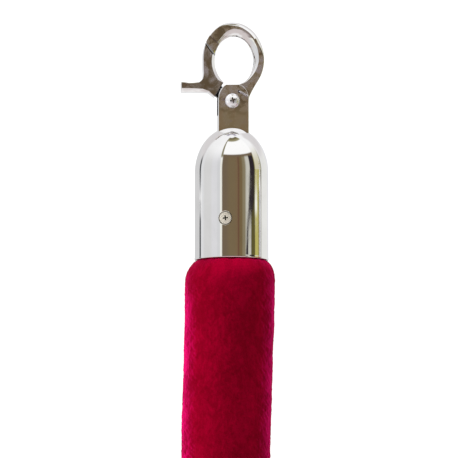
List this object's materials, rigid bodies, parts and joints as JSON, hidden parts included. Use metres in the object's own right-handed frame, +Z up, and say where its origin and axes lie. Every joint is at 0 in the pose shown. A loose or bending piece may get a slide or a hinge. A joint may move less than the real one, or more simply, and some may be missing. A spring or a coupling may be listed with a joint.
{
  "type": "velvet barrier rope",
  "caption": "Crimson velvet barrier rope with a bullet-shaped chrome cap and a sprung snap hook at each end, hung double so that it makes a U.",
  "frame": {"origin": "the seat at the inside top of hook A's eye, where the hook rests on a post's ring", "axes": "+Z up, against the hanging rope; +X from end A to end B in the plane of the U; +Y away from the side the pivot screw's head of end A faces"},
  "size_m": [0.2146, 0.0384, 0.7311],
  "materials": {
    "chrome": "polished chrome plate on zinc and brass",
    "screw_nickel": "nickel-plated brass, slightly warm",
    "spring_steel": "drawn spring wire",
    "zinc_steel": "zinc-plated steel",
    "plug_wood": "turned beech",
    "velvet": "cut-pile velvet, crimson with a purplish sheen where the nap turns from the eye",
    "cotton_core": "twisted cotton and foam filling"
  },
  "bodies": {
    "leg_a": {"sleeve_01": "velvet", "core_01": "cotton_core", "hook_body_a": "chrome", "gate_spring_a": "spring_steel", "pivot_screw_a": "chrome", "pivot_nut_a": "chrome", "end_cap_a": "chrome", "cap_screw_a": "screw_nickel", "tail_washer_a": "zinc_steel", "tail_nut_a": "zinc_steel", "end_plug_a": "plug_wood"},
    "rope_02": {"sleeve_02": "velvet", "core_02": "cotton_core"},
    "rope_03": {"sleeve_03": "velvet", "core_03": "cotton_core"},
    "rope_04": {"sleeve_04": "velvet", "core_04": "cotton_core"},
    "rope_05": {"sleeve_05": "velvet", "core_05": "cotton_core"},
    "rope_06": {"sleeve_06": "velvet", "core_06": "cotton_core"},
    "rope_07": {"sleeve_07": "velvet", "core_07": "cotton_core"},
    "rope_08": {"sleeve_08": "velvet", "core_08": "cotton_core"},
    "rope_09": {"sleeve_09": "velvet", "core_09": "cotton_core"},
    "rope_10": {"sleeve_10": "velvet", "core_10": "cotton_core"},
    "rope_11": {"sleeve_11": "velvet", "core_11": "cotton_core"},
    "leg_b": {"sleeve_12": "velvet", "core_12": "cotton_core", "hook_body_b": "chrome", "gate_spring_b": "spring_steel", "pivot_screw_b": "chrome", "pivot_nut_b": "chrome", "end_cap_b": "chrome", "cap_screw_b": "screw_nickel", "tail_washer_b": "zinc_steel", "tail_nut_b": "zinc_steel", "end_plug_b": "plug_wood"},
    "gate_a": {"hook_gate_a": "chrome"},
    "gate_b": {"hook_gate_b": "chrome"}
  },
  "joints": [
    {"name": "bend_01", "type": "hinge", "parent": "leg_a", "child": "rope_02", "pos_m": [-0.00811, 0, -0.42659], "axis": [0, 1, 0], "range_deg": [0, 4], "stiffness_Nm_per_rad": 8, "springref_deg": -5.76},
    {"name": "bend_02", "type": "hinge", "parent": "rope_02", "child": "rope_03", "pos_m": [0.00075, 0, -0.6297], "axis": [0, 1, 0], "range_deg": [0, 14], "stiffness_Nm_per_rad": 8, "springref_deg": -5.4},
    {"name": "bend_03", "type": "hinge", "parent": "rope_03", "child": "rope_04", "pos_m": [0.00927, 0, -0.65846], "axis": [0, 1, 0], "range_deg": [0, 18], "stiffness_Nm_per_rad": 8, "springref_deg": -5.09},
    {"name": "bend_04", "type": "hinge", "parent": "rope_04", "child": "rope_05", "pos_m": [0.02627, 0, -0.68319], "axis": [0, 1, 0], "range_deg": [0, 21], "stiffness_Nm_per_rad": 8, "springref_deg": -4.48},
    {"name": "bend_05", "type": "hinge", "parent": "rope_05", "child": "rope_06", "pos_m": [0.05099, 0, -0.70018], "axis": [0, 1, 0], "range_deg": [0, 22], "stiffness_Nm_per_rad": 8, "springref_deg": -3.62},
    {"name": "bend_06", "type": "hinge", "parent": "rope_06", "child": "rope_07", "pos_m": [0.08028, 0, -0.70667], "axis": [0, 1, 0], "range_deg": [0, 25], "stiffness_Nm_per_rad": 8, "springref_deg": -2.63},
    {"name": "bend_07", "type": "hinge", "parent": "rope_07", "child": "rope_08", "pos_m": [0.10957, 0, -0.70018], "axis": [0, 1, 0], "range_deg": [0, 22], "stiffness_Nm_per_rad": 8, "springref_deg": -1.66},
    {"name": "bend_08", "type": "hinge", "parent": "rope_08", "child": "rope_09", "pos_m": [0.13429, 0, -0.68319], "axis": [0, 1, 0], "range_deg": [0, 21], "stiffness_Nm_per_rad": 8, "springref_deg": -0.87},
    {"name": "bend_09", "type": "hinge", "parent": "rope_09", "child": "rope_10", "pos_m": [0.15128, 0, -0.65846], "axis": [0, 1, 0], "range_deg": [0, 18], "stiffness_Nm_per_rad": 8, "springref_deg": -0.35},
    {"name": "bend_10", "type": "hinge", "parent": "rope_10", "child": "rope_11", "pos_m": [0.1598, 0, -0.6297], "axis": [0, 1, 0], "range_deg": [0, 14], "stiffness_Nm_per_rad": 8, "springref_deg": -0.09},
    {"name": "bend_11", "type": "hinge", "parent": "rope_11", "child": "leg_b", "pos_m": [0.16867, 0, -0.42659], "axis": [0, 1, 0], "range_deg": [0, 4], "stiffness_Nm_per_rad": 8, "springref_deg": 0.14},
    {"name": "gate_a_pivot", "type": "hinge", "parent": "leg_a", "child": "gate_a", "pos_m": [0, 0, -0.0284], "axis": [0, -1, 0], "range_deg": [0, 35], "stiffness_Nm_per_rad": 0.02, "springref_deg": -57.3, "deforming": ["gate_spring_a"]},
    {"name": "gate_b_pivot", "type": "hinge", "parent": "leg_b", "child": "gate_b", "pos_m": [0.16056, 0, -0.0284], "axis": [0, 1, 0], "range_deg": [0, 35], "stiffness_Nm_per_rad": 0.02, "springref_deg": -57.3, "deforming": ["gate_spring_b"]}
  ],
  "couplings": [
    {"joint": "bend_01", "follows": "bend_11", "ratio": 1},
    {"joint": "bend_02", "follows": "bend_11", "ratio": 3.5},
    {"joint": "bend_03", "follows": "bend_11", "ratio": 4.5},
    {"joint": "bend_04", "follows": "bend_11", "ratio": 5.25},
    {"joint": "bend_05", "follows": "bend_11", "ratio": 5.5},
    {"joint": "bend_06", "follows": "bend_11", "ratio": 6.25},
    {"joint": "bend_07", "follows": "bend_11", "ratio": 5.5},
    {"joint": "bend_08", "follows": "bend_11", "ratio": 5.25},
    {"joint": "bend_09", "follows": "bend_11", "ratio": 4.5},
    {"joint": "bend_10", "follows": "bend_11", "ratio": 3.5}
  ]
}
